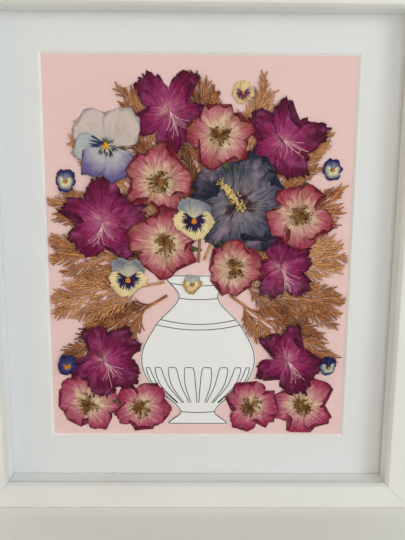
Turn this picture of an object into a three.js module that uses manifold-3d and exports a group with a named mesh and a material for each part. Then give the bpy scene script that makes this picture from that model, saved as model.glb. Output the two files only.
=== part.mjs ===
// A white box frame holding pressed flowers behind glass, 274 x 35 x 320 mm.
// From front to back: four mitred rails whose lip holds a pane of glass, four spacer strips, a window mat,
// a pink mount card with the specimens glued to it, and a backing board held by bendable steel points.
// The specimens are a bouquet: dried cypress fans out of a cut-out white card vase, with blooms laid over it
// and more blooms lying at its foot.
// Millimetres, +Z up. The frame stands on its bottom edge, faces -Y, and the origin is under its centre.
import * as THREE from "three";
import Module from "manifold-3d";
import { mergeVertices } from "three/addons/utils/BufferGeometryUtils.js";

const wasm = await Module();
wasm.setup();

// ---- driving dimensions ----
const FRAME = {
  width: 274, height: 320, depth: 35, chamfer: 0.5, mitreGap: 0.1,
  face: 14.2, // width of a rail's front face
  reach: 15.8, // from a rail's outer edge to the edge of its lip, which slopes in from the face
  lip: 3.5, // thickness of the part that covers the glass
  wall: 11, // side wall of a rail, outside the rebate
  border: 15, // from the outer edge to the inner faces of the spacers
};
const GLASS = { thickness: 2 };
const SPACER = { depth: 10.4, thickness: 3.7, joint: 0.3 };
const MAT = { thickness: 1.5, window: { width: 189, height: 239, raise: 2, bevel: 1.4 } };
const CARD = { thickness: 1.5 };
const BOARD = { thickness: 3 };
const MAT_GAP = 0.4; // between the spacers and the mat, whose board is never quite flat
const SHEET_CLEARANCE = 1; // round the glass, mat, card and board, inside the rebate
const LAYER_GAP = 0.1; // between flat pieces that lie on each other
const POINT = { width: 8, reach: 11, thickness: 0.5, inset: 70 };
const HANGER = {
  width: 46, height: 10, thickness: 0.8, bow: 2, ramp: 3, teeth: 9, toothDepth: 1.6, end: 7, below: 40,
};
const NAIL = { shank: 0.6, hole: 1.2, head: 2, headThickness: 0.8 };
const VASE = {
  thickness: 0.3,
  height: 100,
  base: -113, // from the window's centre down to its foot
  profile: [[20, 0], [12, 0.09], [31.8, 0.28], [37, 0.47], [27.4, 0.68], [13, 0.86], [22, 1]],
  steps: 22, // along one side of its outline, whose half widths stand at shares of the height
};
const BLOOM = { thickness: 0.5, steps: 35, wobble: 0.03 };
const SPRAY = { thickness: 0.5, twigs: 9, bare: 0.14, stalk: 1.6, notch: 0.6, rake: 0.1 };
const LEVEL_PITCH = 0.6; // from one level of the pile of specimens to the next

// ---- worked-out dimensions ----
const FRONT_Y = -FRAME.depth / 2;
const MID_Z = FRAME.height / 2;
const WELL = { width: FRAME.width - 2 * FRAME.border, height: FRAME.height - 2 * FRAME.border };
const SHEET = {
  width: FRAME.width - 2 * FRAME.wall - 2 * SHEET_CLEARANCE,
  height: FRAME.height - 2 * FRAME.wall - 2 * SHEET_CLEARANCE,
};
const GLASS_Y = FRONT_Y + FRAME.lip + LAYER_GAP; // front face of each layer, from the lip backwards
const SPACER_Y = GLASS_Y + GLASS.thickness + LAYER_GAP;
const MAT_Y = SPACER_Y + SPACER.depth + MAT_GAP;
const CARD_Y = MAT_Y + MAT.thickness + LAYER_GAP;
const BOARD_Y = CARD_Y + CARD.thickness + LAYER_GAP;
const BACK_Y = BOARD_Y + BOARD.thickness + LAYER_GAP; // what is fixed on the back of the board
const PICTURE_Z = MID_Z + MAT.window.raise; // height of the window's centre

// ---- materials ----
function paint(color, roughness, metalness = 0) {
  return new THREE.MeshStandardMaterial({ color, roughness, metalness });
}

function clear(color, opacity) {
  return new THREE.MeshStandardMaterial({ color, opacity, transparent: true, roughness: 0.02 });
}

const MATERIALS = {
  lacquer: paint(0xe9e8e2, 0.35),
  glass: clear(0xf4fbf8, 0.15),
  matBoard: paint(0xe6e3df, 0.9),
  pinkCard: paint(0xe6c2be, 0.9),
  fibreboard: paint(0x8f6a45, 0.8),
  steel: paint(0xb9bbbd, 0.35, 1),
  whiteCard: paint(0xeae5e1, 0.85),
  rose: paint(0xb8657c, 0.8),
  azalea: paint(0x8c2f63, 0.8),
  hibiscus: paint(0x545470, 0.8),
  palePansy: paint(0xc9c2c4, 0.8),
  yellowViola: paint(0xdcc997, 0.8),
  viola: paint(0x5a5488, 0.8),
  cypress: paint(0xad7f50, 0.85),
};

const part = new THREE.Group();

function addPiece(name, geometry, material, parent = part) {
  const mesh = new THREE.Mesh(geometry, material);
  mesh.name = name;
  parent.add(mesh);
  return mesh;
}

// A sheet that fills the rebate, with its front face at the given y.
function addSheet(name, y, thickness, material) {
  const sheet = addPiece(name, new THREE.BoxGeometry(SHEET.width, thickness, SHEET.height), material);
  sheet.position.set(0, y + thickness / 2, MID_Z);
}

// Moves every vertex of a geometry by a function that changes a vector in place.
function reshape(geometry, move) {
  const position = geometry.getAttribute("position");
  const point = new THREE.Vector3();
  for (let i = 0; i < position.count; i++) {
    move(point.fromBufferAttribute(position, i));
    position.setXYZ(i, point.x, point.y, point.z);
  }
  return geometry;
}

const shapeOf = (points) => new THREE.Shape(points.map(([x, y]) => new THREE.Vector2(x, y)));

const extrude = (shape, depth) => new THREE.ExtrudeGeometry(shape, { depth, bevelEnabled: false });

function solidOf(geometry) {
  const bare = geometry.clone().deleteAttribute("normal").deleteAttribute("uv");
  const { attributes, index } = mergeVertices(bare);
  const vertProperties = new Float32Array(attributes.position.array);
  const triVerts = new Uint32Array(index.array);
  return new wasm.Manifold(new wasm.Mesh({ numProp: 3, vertProperties, triVerts }));
}

// Takes every cutter away from a body.
function cut(body, cutters) {
  let solid = solidOf(body);
  for (const cutter of cutters) solid = solid.subtract(solidOf(cutter));
  const { vertProperties, triVerts } = solid.getMesh();
  const geometry = new THREE.BufferGeometry();
  geometry.setAttribute("position", new THREE.BufferAttribute(vertProperties, 3));
  return geometry.setIndex(new THREE.BufferAttribute(triVerts, 1));
}

// ---- frame ----
// L section of a rail: x runs in from the outer edge, y runs back from the face. The inner edge slopes, so
// that its foot on the glass hides the front edge of the spacers.
function railSection() {
  const { face, reach, wall, depth, lip, chamfer } = FRAME;
  return shapeOf([
    [chamfer, 0],
    [face - chamfer, 0],
    [face, chamfer],
    [reach, lip],
    [wall, lip],
    [wall, depth],
    [chamfer, depth],
    [0, depth - chamfer],
    [0, chamfer],
  ]);
}

// A rail of the given outer length, stood along +Z, with both ends mitred at 45 degrees.
function railGeometry(length) {
  return reshape(extrude(railSection(), length), (p) => {
    const mitre = p.x + FRAME.mitreGap;
    p.z = p.z > length / 2 ? length - mitre : mitre;
  });
}

function addRails() {
  const rails = [
    ["rail_left", FRAME.height, FRAME.width, 0],
    ["rail_top", FRAME.width, FRAME.height, 1],
    ["rail_right", FRAME.height, FRAME.width, 2],
    ["rail_bottom", FRAME.width, FRAME.height, 3],
  ];
  for (const [name, length, across, quarterTurns] of rails) {
    const side = new THREE.Group();
    side.position.z = MID_Z;
    side.rotation.y = (quarterTurns * Math.PI) / 2;
    part.add(side);
    const rail = addPiece(name, railGeometry(length), MATERIALS.lacquer, side);
    rail.position.set(-across / 2, FRONT_Y, -length / 2);
  }
}

// Side strips run the full height of the rebate and the short strips stand between them.
function addSpacers() {
  const y = SPACER_Y + SPACER.depth / 2;
  const sideX = (WELL.width + SPACER.thickness) / 2;
  const endZ = (WELL.height + SPACER.thickness) / 2;
  const side = [SPACER.thickness, SPACER.depth, SHEET.height];
  const end = [WELL.width - 2 * SPACER.joint, SPACER.depth, SPACER.thickness];
  const strips = [
    ["spacer_left", side, -sideX, 0],
    ["spacer_right", side, sideX, 0],
    ["spacer_bottom", end, 0, -endZ],
    ["spacer_top", end, 0, endZ],
  ];
  for (const [name, size, x, z] of strips) {
    addPiece(name, new THREE.BoxGeometry(...size), MATERIALS.lacquer).position.set(x, y, MID_Z + z);
  }
}

function rectangle(width, height, centreY = 0) {
  const [x, top, bottom] = [width / 2, centreY + height / 2, centreY - height / 2];
  return [[-x, bottom], [x, bottom], [x, top], [-x, top]].map(([a, b]) => new THREE.Vector2(a, b));
}

// The window's cut edge slopes at about 45 degrees, so the window is wider at the front.
function addMat() {
  const { window, thickness } = MAT;
  const outline = new THREE.Shape(rectangle(SHEET.width, SHEET.height));
  outline.holes.push(new THREE.Path(rectangle(window.width, window.height, window.raise)));
  const geometry = reshape(extrude(outline, thickness), (p) => {
    const onWindow = Math.abs(p.x) < SHEET.width / 2 - 1;
    if (!onWindow || p.z < thickness / 2) return;
    p.x += Math.sign(p.x) * window.bevel;
    p.y += Math.sign(p.y - window.raise) * window.bevel;
  });
  const mat = addPiece("window_mat", geometry, MATERIALS.matBoard);
  mat.rotation.x = Math.PI / 2;
  mat.position.set(0, MAT_Y + thickness, MID_Z);
}

// ---- back fixings ----
// A bendable point: a steel tongue with a clipped tip, lying on the board and pointing in from a rail.
function addPoints() {
  const { width, reach, thickness, inset } = POINT;
  const clip = width / 4;
  const half = width / 2;
  const tip = [[reach - clip, -half], [reach, -half / 2], [reach, half / 2], [reach - clip, half]];
  const tongue = shapeOf([[0, -half], ...tip, [0, half]]);
  const sideX = FRAME.width / 2 - FRAME.wall - LAYER_GAP;
  const endZ = FRAME.height / 2 - FRAME.wall - LAYER_GAP;
  const places = [
    ["point_left_top", -sideX, inset, 0],
    ["point_left_bottom", -sideX, -inset, 0],
    ["point_right_top", sideX, inset, Math.PI],
    ["point_right_bottom", sideX, -inset, Math.PI],
    ["point_top", 0, endZ, -Math.PI / 2],
    ["point_bottom", 0, -endZ, Math.PI / 2],
  ];
  for (const [name, x, z, turn] of places) {
    const geometry = extrude(tongue, thickness).rotateZ(turn).rotateX(Math.PI / 2);
    addPiece(name, geometry, MATERIALS.steel).position.set(x, BACK_Y + thickness, MID_Z + z);
  }
}

// A sawtooth hanger: its ends lie on the board, its middle is bowed out for a nail, its teeth point down.
function addHanger() {
  const { width, height, thickness, bow, ramp, teeth, toothDepth, end, below } = HANGER;
  const half = width / 2;
  const middle = half - end;
  const bowed = [[-middle + ramp, bow], [middle - ramp, bow]];
  const side = [[-half, 0], [-middle, 0], ...bowed, [middle, 0], [half, 0]];
  const strip = [...side, ...side.map(([x, y]) => [x, y + thickness]).reverse()];
  const nailX = half - end / 2;
  const depth = 4 * (bow + thickness); // of the cutters, which run past both faces
  const notches = [[-middle, -1]];
  for (let i = 0; i <= 2 * teeth; i++) {
    notches.push([-middle + (i * middle) / teeth, i % 2 ? toothDepth : 0]);
  }
  notches.push([middle, -1]);
  const saw = extrude(shapeOf(notches), depth).rotateX(Math.PI / 2).translate(0, depth / 2, 0);
  const holes = [-nailX, nailX].map((x) => {
    return new THREE.CylinderGeometry(NAIL.hole, NAIL.hole, depth, 16).translate(x, 0, height / 2);
  });
  const geometry = cut(extrude(shapeOf(strip), height), [saw, ...holes]);
  const z = FRAME.height - FRAME.border - below;
  addPiece("hanger", geometry, MATERIALS.steel).position.set(0, BACK_Y, z);
  for (const [name, x] of [["hanger_nail_left", -nailX], ["hanger_nail_right", nailX]]) {
    const nail = addPiece(name, nailGeometry(thickness), MATERIALS.steel);
    nail.position.set(x, BACK_Y, z + height / 2);
  }
}

// A nail's head, and its shank inside the plate, pointing back along +Y.
function nailGeometry(plateThickness) {
  const under = plateThickness + LAYER_GAP;
  const profile = [
    [0, 0],
    [NAIL.shank, 0],
    [NAIL.shank, under],
    [NAIL.head, under],
    [NAIL.head, under + NAIL.headThickness / 2],
    [NAIL.head / 2, under + NAIL.headThickness],
    [0, under + NAIL.headThickness],
  ];
  return new THREE.LatheGeometry(profile.map(([r, y]) => new THREE.Vector2(r, y)), 12);
}

// ---- specimens ----
// Everything on the card is a flat outline with its front towards the glass.
// Places are x and z from the window's centre. Levels count up from the card.
function addSpecimen(name, outline, thickness, height, material, place = { x: 0, z: 0, turn: 0 }) {
  const turn = THREE.MathUtils.degToRad(place.turn);
  const geometry = extrude(outline, thickness).rotateZ(turn).rotateX(Math.PI / 2);
  addPiece(name, geometry, material).position.set(place.x, CARD_Y - height, PICTURE_Z + place.z);
}

// A round-bellied vase on a spreading foot, cut out of white card.
function vaseOutline() {
  const { height, base, profile } = VASE;
  const knots = profile.map(([half, share]) => new THREE.Vector2(half, base + share * height));
  const right = new THREE.SplineCurve(knots).getPoints(VASE.steps);
  const left = right.map((p) => new THREE.Vector2(-p.x, p.y)).reverse();
  return new THREE.Shape([...right, ...left]);
}

// A bloom's outline: petals spread evenly with notches between them, and a slow wobble round the rim.
function bloomOutline({ petals, notch, point, squash }, size) {
  const points = [];
  for (let i = 0; i < BLOOM.steps; i++) {
    const a = (i / BLOOM.steps) * 2 * Math.PI;
    const lobe = Math.abs(Math.cos((petals * a) / 2)) ** point;
    const wobble = 1 - BLOOM.wobble * (1 - Math.sin(3 * a + size));
    const r = (size / 2) * (1 - notch * (1 - lobe)) * wobble;
    points.push(new THREE.Vector2(r * Math.cos(a), r * squash * Math.sin(a)));
  }
  return new THREE.Shape(points);
}

// A flat spray of cypress along +X from its cut stalk. The tips of its side twigs make a saw edge.
function sprayOutline(length, width) {
  const edge = [];
  for (let i = 0; i < SPRAY.twigs; i++) {
    const share = SPRAY.bare + ((1 - SPRAY.bare) * i) / SPRAY.twigs;
    const reach = (width / 2) * Math.sin(Math.PI * (0.1 + 0.85 * share));
    edge.push([share * length, Math.max(SPRAY.stalk, reach * SPRAY.notch)]);
    edge.push([Math.min(share + SPRAY.rake, 0.97) * length, Math.max(SPRAY.stalk, reach)]);
  }
  const upper = [[0, SPRAY.stalk / 2], ...edge, [length, 0]];
  const lower = [...edge.map(([x, y]) => [x, -y]).reverse(), [0, -SPRAY.stalk / 2]];
  return shapeOf([...upper, ...lower]);
}

const KINDS = {
  hibiscus: { petals: 5, notch: 0.08, point: 0.6, squash: 0.94, material: MATERIALS.hibiscus },
  rose: { petals: 5, notch: 0.14, point: 0.6, squash: 1, material: MATERIALS.rose },
  azalea: { petals: 5, notch: 0.5, point: 1, squash: 1, material: MATERIALS.azalea },
  pale_pansy: { petals: 5, notch: 0.16, point: 0.6, squash: 0.9, material: MATERIALS.palePansy },
  yellow_viola: { petals: 5, notch: 0.18, point: 0.6, squash: 0.9, material: MATERIALS.yellowViola },
  viola: { petals: 5, notch: 0.22, point: 0.6, squash: 0.9, material: MATERIALS.viola },
};

// kind, x, z, size, turn in degrees, level. A kind's blooms are numbered in this order.
const BLOOMS = [
  ["hibiscus", 24, 31, 61, 20, 4],
  ["rose", -21, 6, 43, 10, 4],
  ["rose", -25, 45, 43, 50, 5],
  ["rose", 13, 73, 40, 80, 5],
  ["rose", 63, 24, 41, 30, 5],
  ["rose", 22, -9, 36, 65, 5],
  ["rose", -71, -98, 42, 0, 0],
  ["rose", -37, -101, 36, 40, 1],
  ["rose", 69, -99, 42, 20, 0],
  ["rose", 35, -100, 35, 75, 1],
  ["azalea", -59, 20, 50, 0, 3],
  ["azalea", -18, 87, 48, 35, 3],
  ["azalea", 51, 70, 49, 60, 3],
  ["azalea", 52, -8, 42, 15, 3],
  ["azalea", -60, -69, 46, 25, 2],
  ["azalea", 58, -69, 44, 50, 2],
  ["pale_pansy", -56, 66, 45, 0, 4],
  ["yellow_viola", -3, 22, 27, 0, 6],
  ["yellow_viola", -44, -15, 26, 0, 5],
  ["viola", -82, 45, 14, 0, 1],
  ["viola", 82, 53, 14, 0, 2],
  ["viola", 26, 98, 14, 0, 3],
  ["viola", -4, -19, 13, 0, 0],
  ["viola", -84, -72, 14, 0, 4],
  ["viola", 84, -72, 13, 0, 4],
];

// heading in degrees from +X, distance of the stalk's end from the mouth's centre, length, width, level
const SPRAYS = [
  [-33, 24, 76, 30, 0],
  [-12, 22, 69, 32, 1],
  [9, 14, 76, 34, 2],
  [29, 14, 86, 34, 0],
  [50, 12, 104, 34, 1],
  [70, 10, 112, 34, 2],
  [90, 8, 112, 34, 0],
  [111, 10, 112, 34, 1],
  [131, 12, 104, 34, 2],
  [152, 14, 84, 34, 0],
  [172, 18, 72, 34, 1],
  [193, 22, 69, 32, 2],
  [214, 24, 76, 30, 0],
];

const levelHeight = (level) => VASE.thickness + 2 * LAYER_GAP + level * LEVEL_PITCH;

function addSprays() {
  const mouthZ = VASE.base + VASE.height;
  SPRAYS.forEach(([heading, start, length, width, level], i) => {
    const angle = THREE.MathUtils.degToRad(heading);
    const place = { x: start * Math.cos(angle), z: mouthZ + start * Math.sin(angle), turn: heading };
    const outline = sprayOutline(length, width);
    addSpecimen(`cypress_${i + 1}`, outline, SPRAY.thickness, levelHeight(level), MATERIALS.cypress, place);
  });
}

function addBlooms() {
  const counts = {};
  for (const [kind, x, z, size, turn, level] of BLOOMS) {
    counts[kind] = (counts[kind] ?? 0) + 1;
    const outline = bloomOutline(KINDS[kind], size);
    const name = `${kind}_${counts[kind]}`;
    addSpecimen(name, outline, BLOOM.thickness, levelHeight(level), KINDS[kind].material, { x, z, turn });
  }
}

addRails();
addSheet("glass", GLASS_Y, GLASS.thickness, MATERIALS.glass);
addSpacers();
addMat();
addSheet("mount_card", CARD_Y, CARD.thickness, MATERIALS.pinkCard);
addSheet("backing_board", BOARD_Y, BOARD.thickness, MATERIALS.fibreboard);
addPoints();
addHanger();
addSpecimen("vase_card", vaseOutline(), VASE.thickness, LAYER_GAP, MATERIALS.whiteCard);
addSprays();
addBlooms();

export default part;
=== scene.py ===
# Pressed flower frame: finishes for the frame, and the pressed specimens modelled petal by petal
import math
import random
from functools import partial

import bmesh
import bpy
import numpy as np
from mathutils import Matrix, Vector, noise


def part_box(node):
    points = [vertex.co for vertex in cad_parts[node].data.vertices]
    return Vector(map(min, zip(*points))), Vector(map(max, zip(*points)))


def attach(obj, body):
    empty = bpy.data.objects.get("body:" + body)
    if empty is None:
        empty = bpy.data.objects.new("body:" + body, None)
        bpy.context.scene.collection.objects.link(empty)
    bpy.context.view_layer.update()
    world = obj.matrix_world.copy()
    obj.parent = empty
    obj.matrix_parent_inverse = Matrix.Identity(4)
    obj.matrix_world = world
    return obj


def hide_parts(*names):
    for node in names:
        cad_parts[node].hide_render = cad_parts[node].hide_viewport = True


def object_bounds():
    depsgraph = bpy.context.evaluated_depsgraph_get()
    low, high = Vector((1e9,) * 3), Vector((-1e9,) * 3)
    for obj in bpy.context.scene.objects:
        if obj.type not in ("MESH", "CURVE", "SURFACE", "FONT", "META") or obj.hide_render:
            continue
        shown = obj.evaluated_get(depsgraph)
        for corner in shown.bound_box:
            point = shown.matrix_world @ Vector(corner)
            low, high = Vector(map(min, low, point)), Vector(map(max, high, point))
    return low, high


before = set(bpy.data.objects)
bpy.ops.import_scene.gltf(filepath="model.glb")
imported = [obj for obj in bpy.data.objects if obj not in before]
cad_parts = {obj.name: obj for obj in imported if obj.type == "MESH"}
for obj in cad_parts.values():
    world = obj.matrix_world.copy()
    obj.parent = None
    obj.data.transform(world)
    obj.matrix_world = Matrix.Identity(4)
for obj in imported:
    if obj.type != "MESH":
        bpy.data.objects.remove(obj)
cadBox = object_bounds()
print("frame loaded:", len(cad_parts), "nodes")

mm = 0.001
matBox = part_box("window_mat")
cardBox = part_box("mount_card")
cardFront = cardBox[0][1]  # the specimens lie on this face, towards -Y
pictureZ = (matBox[0][2] + matBox[1][2]) / 2 + 2 * mm  # the window is cut 2 mm above the middle


def hexColor(code, alpha=1.0):  # sRGB hex to linear
    channels = [int(code[i:i + 2], 16) / 255 for i in (0, 2, 4)]
    linear = [c / 12.92 if c <= 0.04045 else ((c + 0.055) / 1.055) ** 2.4 for c in channels]
    return (*linear, alpha)


def addNode(tree, kind, settings=None, links=None):  # settings are attributes, or values of inputs
    node = tree.nodes.new("ShaderNode" + kind)
    for key, value in (settings or {}).items():
        if key == "stops":
            ramp = node.color_ramp
            while len(ramp.elements) < len(value):
                ramp.elements.new(0.5)
            for element, (place, code) in zip(ramp.elements, value):
                element.position = place
                element.color = hexColor(code)
        elif isinstance(key, str) and hasattr(node, key):
            setattr(node, key, value)
        else:
            node.inputs[key].default_value = value
    for key, source in (links or {}).items():  # a source is a socket, or a node for its first output
        socket = source if isinstance(source, bpy.types.NodeSocket) else source.outputs[0]
        tree.links.new(socket, node.inputs[key])
    return node


def newMaterial(name):  # add is addNode for its tree, and spot a place on the frame, for every texture
    material = bpy.data.materials.new(name)
    material.use_nodes = True
    material.node_tree.nodes.clear()
    add = partial(addNode, material.node_tree)
    return material, add, add("TexCoord").outputs["Object"]


# bump is a strength, a depth and the node that gives the height
def finishMaterial(material, color, settings, bump=None, links=None):
    add = partial(addNode, material.node_tree)
    into = dict(links or {})
    if color:
        into["Base Color"] = color
    if bump:
        strength, depth, height = bump
        into["Normal"] = add("Bump", {"Strength": strength, "Distance": depth}, {"Height": height})
    shader = add("BsdfPrincipled", settings, into)
    add("OutputMaterial", {}, {"Surface": shader})
    return material


def cloudTones(add, spot, noiseSettings, stops):  # the noise, and its tones
    cloud = add("TexNoise", noiseSettings, {"Vector": spot})
    return cloud, add("ValToRGB", {"stops": stops}, {"Fac": cloud})


def layPigment(add, under, code, share, amount, low, high):  # comes in as the amount goes from low to high
    much = add("MapRange", {"From Min": low, "From Max": high, "To Max": share}, {"Value": amount})
    over = add("Mix", {"data_type": "RGBA", "B": hexColor(code)}, {"Factor": much, "A": under})
    return over.outputs["Result"]


def smoothStep(low, high, value):
    t = min(max((value - low) / (high - low), 0.0), 1.0)
    return t * t * (3 - 2 * t)


def waver(*place):  # smooth noise from -1 to 1
    return noise.noise(Vector(place))


def newMesh(*layers):  # with a value at each vertex for each named layer
    bm = bmesh.new()
    for layer in layers:
        bm.verts.layers.float.new(layer)
    return bm


def only(kind, geometry):  # kind is Vert, Edge or Face
    return [g for g in geometry if isinstance(g, getattr(bmesh.types, "BM" + kind))]


def closeMesh(name, bm, smooth=True):
    mesh = bpy.data.meshes.new(name)
    bm.to_mesh(mesh)
    bm.free()
    if smooth:
        mesh.shade_smooth()
    return mesh


def faceFront(bm, faces):
    bmesh.ops.recalc_face_normals(bm, faces=faces)
    if sum(f.normal.y for f in faces) > 0:
        bmesh.ops.reverse_faces(bm, faces=faces)


def link(name, data):
    thing = bpy.data.objects.new(name, data)
    bpy.context.scene.collection.objects.link(thing)
    return thing


def makeObject(name, bm, materials, smooth=True):
    mesh = closeMesh(name, bm, smooth)
    for material in materials:
        mesh.materials.append(material)
    return link(name, mesh)


def settle(piece, node):  # a new piece that stands for one CAD node
    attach(piece, "root")
    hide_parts(node)


# Satin lacquer sprayed on fibreboard: even off-white, faint orange peel, soft highlights
def satinLacquer(name, light, dark):
    material, add, spot = newMaterial(name)
    cloud, tint = cloudTones(add, spot, {"Scale": 14.0, "Detail": 3.0}, [(0.3, dark), (0.7, light)])
    peel = add("TexNoise", {"Scale": 700.0, "Detail": 2.0}, {"Vector": spot})  # 1.4 mm dimples
    gloss = add("MapRange", {"To Min": 0.32, "To Max": 0.42}, {"Value": cloud})
    return finishMaterial(material, tint, {"IOR": 1.5}, (0.06, 0.2 * mm, peel), {"Roughness": gloss})


# Bare fibreboard, sawn: brown fibres pressed flat, no gloss
def bareFibreboard(name, light, dark, grainScale):
    material, add, spot = newMaterial(name)
    grain = {"Scale": grainScale, "Detail": 8.0, "Roughness": 0.7, "Distortion": 0.6}
    fibres = add("TexNoise", grain, {"Vector": spot})
    cloud = add("TexNoise", {"Scale": 30.0, "Detail": 3.0}, {"Vector": spot})
    both = add("Math", {"operation": "MULTIPLY_ADD", 1: 0.3}, {0: cloud, 2: fibres})
    tint = add("ValToRGB", {"stops": [(0.45, dark), (0.85, light)]}, {"Fac": both})
    return finishMaterial(material, tint, {"Roughness": 0.78, "IOR": 1.45}, (0.25, 0.3 * mm, fibres))


# Paper and board, calendered: matte, with a fine felt of fibres and a few dust specks
def paperBoard(name, light, dark, speck, feltScale, core=None):
    material, add, spot = newMaterial(name)
    _, tint = cloudTones(add, spot, {"Scale": 22.0, "Detail": 4.0}, [(0.25, dark), (0.75, light)])
    felt = add("TexNoise", {"Scale": feltScale, "Detail": 4.0, "Roughness": 0.65}, {"Vector": spot})
    dust = add("TexVoronoi", {"Scale": 75.0}, {"Vector": spot})  # one cell in 13 mm
    isSpeck = add("Math", {"operation": "LESS_THAN", 1: 0.035}, {0: dust})
    cell = add("SeparateColor", {}, {"Color": dust.outputs["Color"]})
    chosen = add("Math", {"operation": "GREATER_THAN", 1: 0.75}, {0: cell})  # one cell in four
    share = add("Math", {"operation": "MULTIPLY"}, {0: isSpeck, 1: chosen})
    color = layPigment(add, tint, speck, 1.0, share, 0.0, 1.0)
    if core:  # a cut edge slopes, so it shows the core
        face = add("NewGeometry").outputs["True Normal"]
        normal = add("SeparateXYZ", {}, {0: face})
        slopes = add("Math", {"operation": "GREATER_THAN", 1: -0.9}, {0: normal.outputs["Y"]})
        color = layPigment(add, color, core, 1.0, slopes, 0.0, 1.0)
    return finishMaterial(material, color, {"Roughness": 0.9, "IOR": 1.4}, (0.12, 0.2 * mm, felt))


# Picture glass, floated and given an anti-reflection coat: clear, a faint green in its depth. The coat
# mirrors so little that the index is set well under the 1.5 of bare glass.
def pictureGlass():
    material, add, spot = newMaterial("picture glass, anti-reflection coat")
    wave = add("TexNoise", {"Scale": 6.0, "Detail": 1.0}, {"Vector": spot})
    settings = {"Base Color": hexColor("FBFEFC"), "Roughness": 0.0, "IOR": 1.2, "Transmission Weight": 1.0}
    return finishMaterial(material, None, settings, (0.003, 0.5 * mm, wave))


# Zinc-plated spring steel, barrelled: grey, dull shine, faint blotches
def zincSteel():
    material, add, spot = newMaterial("zinc plated steel")
    blotch, tint = cloudTones(add, spot, {"Scale": 400.0, "Detail": 3.0},
                              [(0.3, "AEB1B3"), (0.7, "BDBFC1")])
    gloss = add("MapRange", {"To Min": 0.34, "To Max": 0.42}, {"Value": blotch})
    return finishMaterial(material, tint, {"Metallic": 1.0}, links={"Roughness": gloss})


lacquer = satinLacquer("satin lacquer on fibreboard", "E9E9E5", "E3E3DF")
# painted light: the spacer strips are lacquered white like the rails, and are painted paler than them to
# make up for the shade in the deep recess
stripLacquerPaintedPaler = satinLacquer("white lacquer on spacer strips", "F7F8F7", "F2F4F3")
railBack = bareFibreboard("sawn fibreboard", "C9A982", "A88458", 900.0)
hardboard = bareFibreboard("hardboard", "9A7148", "6E4B2C", 500.0)
matBoard = paperBoard("window mat board", "E9E8EA", "E5E4E6", "A8A39E", 1500.0, core="F4F1EF")
pinkCard = paperBoard("pink card", "F0CDCA", "ECC7C4", "B48D88", 1300.0)
whiteCard = paperBoard("white card", "F2EFEF", "EEEAEB", "B5AFAB", 1500.0)
glassPane = pictureGlass()
steel = zincSteel()
print("frame materials made")


def dressNode(node, material):
    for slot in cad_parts[node].material_slots:
        slot.material = material


for side in ("top", "bottom", "left", "right"):
    dressNode("spacer_" + side, stripLacquerPaintedPaler)
dressNode("window_mat", matBoard)
dressNode("mount_card", pinkCard)
dressNode("backing_board", hardboard)
dressNode("glass", glassPane)
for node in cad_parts:
    if node.startswith(("hanger", "point_")):
        dressNode(node, steel)
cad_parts["glass"].visible_shadow = False  # daylight reaches the specimens through the pane

rails = {
    "faceWidth": 14.2 * mm,
    "wall": 11 * mm,  # outside the rebate
    "lip": 3.5 * mm,  # thickness of the part that covers the glass
    "reach": 15.8 * mm,  # the lip's edge slopes in, and hides the front of the strips behind it
    "mitreGap": 0.08 * mm,
    "edgeRadius": 0.7 * mm,  # lacquered edges are softened by sanding
    "edgeSegments": 3,
}


def makeRail(side, turn):  # built as the left rail, then turned about the frame's axis
    low, high = cadBox
    width, depth, height = (high[i] - low[i] for i in range(3))
    across, length = (width, height) if side in ("left", "right") else (height, width)
    face, lip, wall = rails["faceWidth"], rails["lip"], rails["wall"]
    corners = [(0, 0), (face, 0), (rails["reach"], lip), (wall, lip), (wall, depth), (0, depth)]
    bm = newMesh()
    section = [bm.verts.new((x - across / 2, y - depth / 2, -length / 2)) for x, y in corners]
    end = bm.faces.new(section)
    grown = bmesh.ops.extrude_face_region(bm, geom=[end])["geom"]
    bmesh.ops.translate(bm, verts=only("Vert", grown), vec=(0, 0, length))
    for sign in (-1, 1):  # mitres
        corner = Vector((-across / 2, 0, sign * (length / 2 - rails["mitreGap"])))
        cut = bmesh.ops.bisect_plane(bm, geom=bm.verts[:] + bm.edges[:] + bm.faces[:], plane_co=corner,
                                     plane_no=(1, 0, sign), clear_outer=True)
        bmesh.ops.edgeloop_fill(bm, edges=only("Edge", cut["geom_cut"]))
    bmesh.ops.recalc_face_normals(bm, faces=bm.faces)
    lengthwise = [e for e in bm.edges if abs((e.verts[0].co - e.verts[1].co).normalized().z) > 0.9]
    along = [e for e in lengthwise if min(v.co.y for v in e.verts) < lip - depth / 2 - 0.1 * mm
             or max(v.co.x for v in e.verts) < -across / 2 + 0.1 * mm]
    bmesh.ops.bevel(bm, geom=along, offset=rails["edgeRadius"], segments=rails["edgeSegments"],
                    profile=0.5, affect="EDGES", material=-1)
    bm.normal_update()
    for f in bm.faces:  # the lacquer runs into the rebate and round the edges, and the back is left bare
        f.material_index = 1 if f.normal.y > 0.9 and f.calc_center_median().y > 0 else 0
    centre = Matrix.Translation((0, (low[1] + high[1]) / 2, (low[2] + high[2]) / 2))
    bmesh.ops.transform(bm, matrix=centre @ Matrix.Rotation(turn, 4, "Y"), verts=bm.verts)
    piece = makeObject(side + "_rail", bm, [lacquer, railBack])
    piece.data.set_sharp_from_angle(angle=math.radians(35))  # the rounded edges are smooth, the flats flat
    settle(piece, "rail_" + side)


for side, quarter in (("left", 0), ("top", 1), ("right", 2), ("bottom", 3)):
    makeRail(side, quarter * math.pi / 2)
print("rails made")

# Heights, in mm above the card, of what is already glued down. Each new petal or twig bends over it.
pile = {"halfWidth": 96, "halfHeight": 121, "cell": 1.0}
window = {"halfWidth": 93.4, "halfHeight": 118.4}  # nothing glued down reaches past its edge, in mm
pileRows = int(2 * pile["halfHeight"] / pile["cell"]) + 1
pileColumns = int(2 * pile["halfWidth"] / pile["cell"]) + 1
pileHeights = np.zeros((pileRows, pileColumns))


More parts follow.
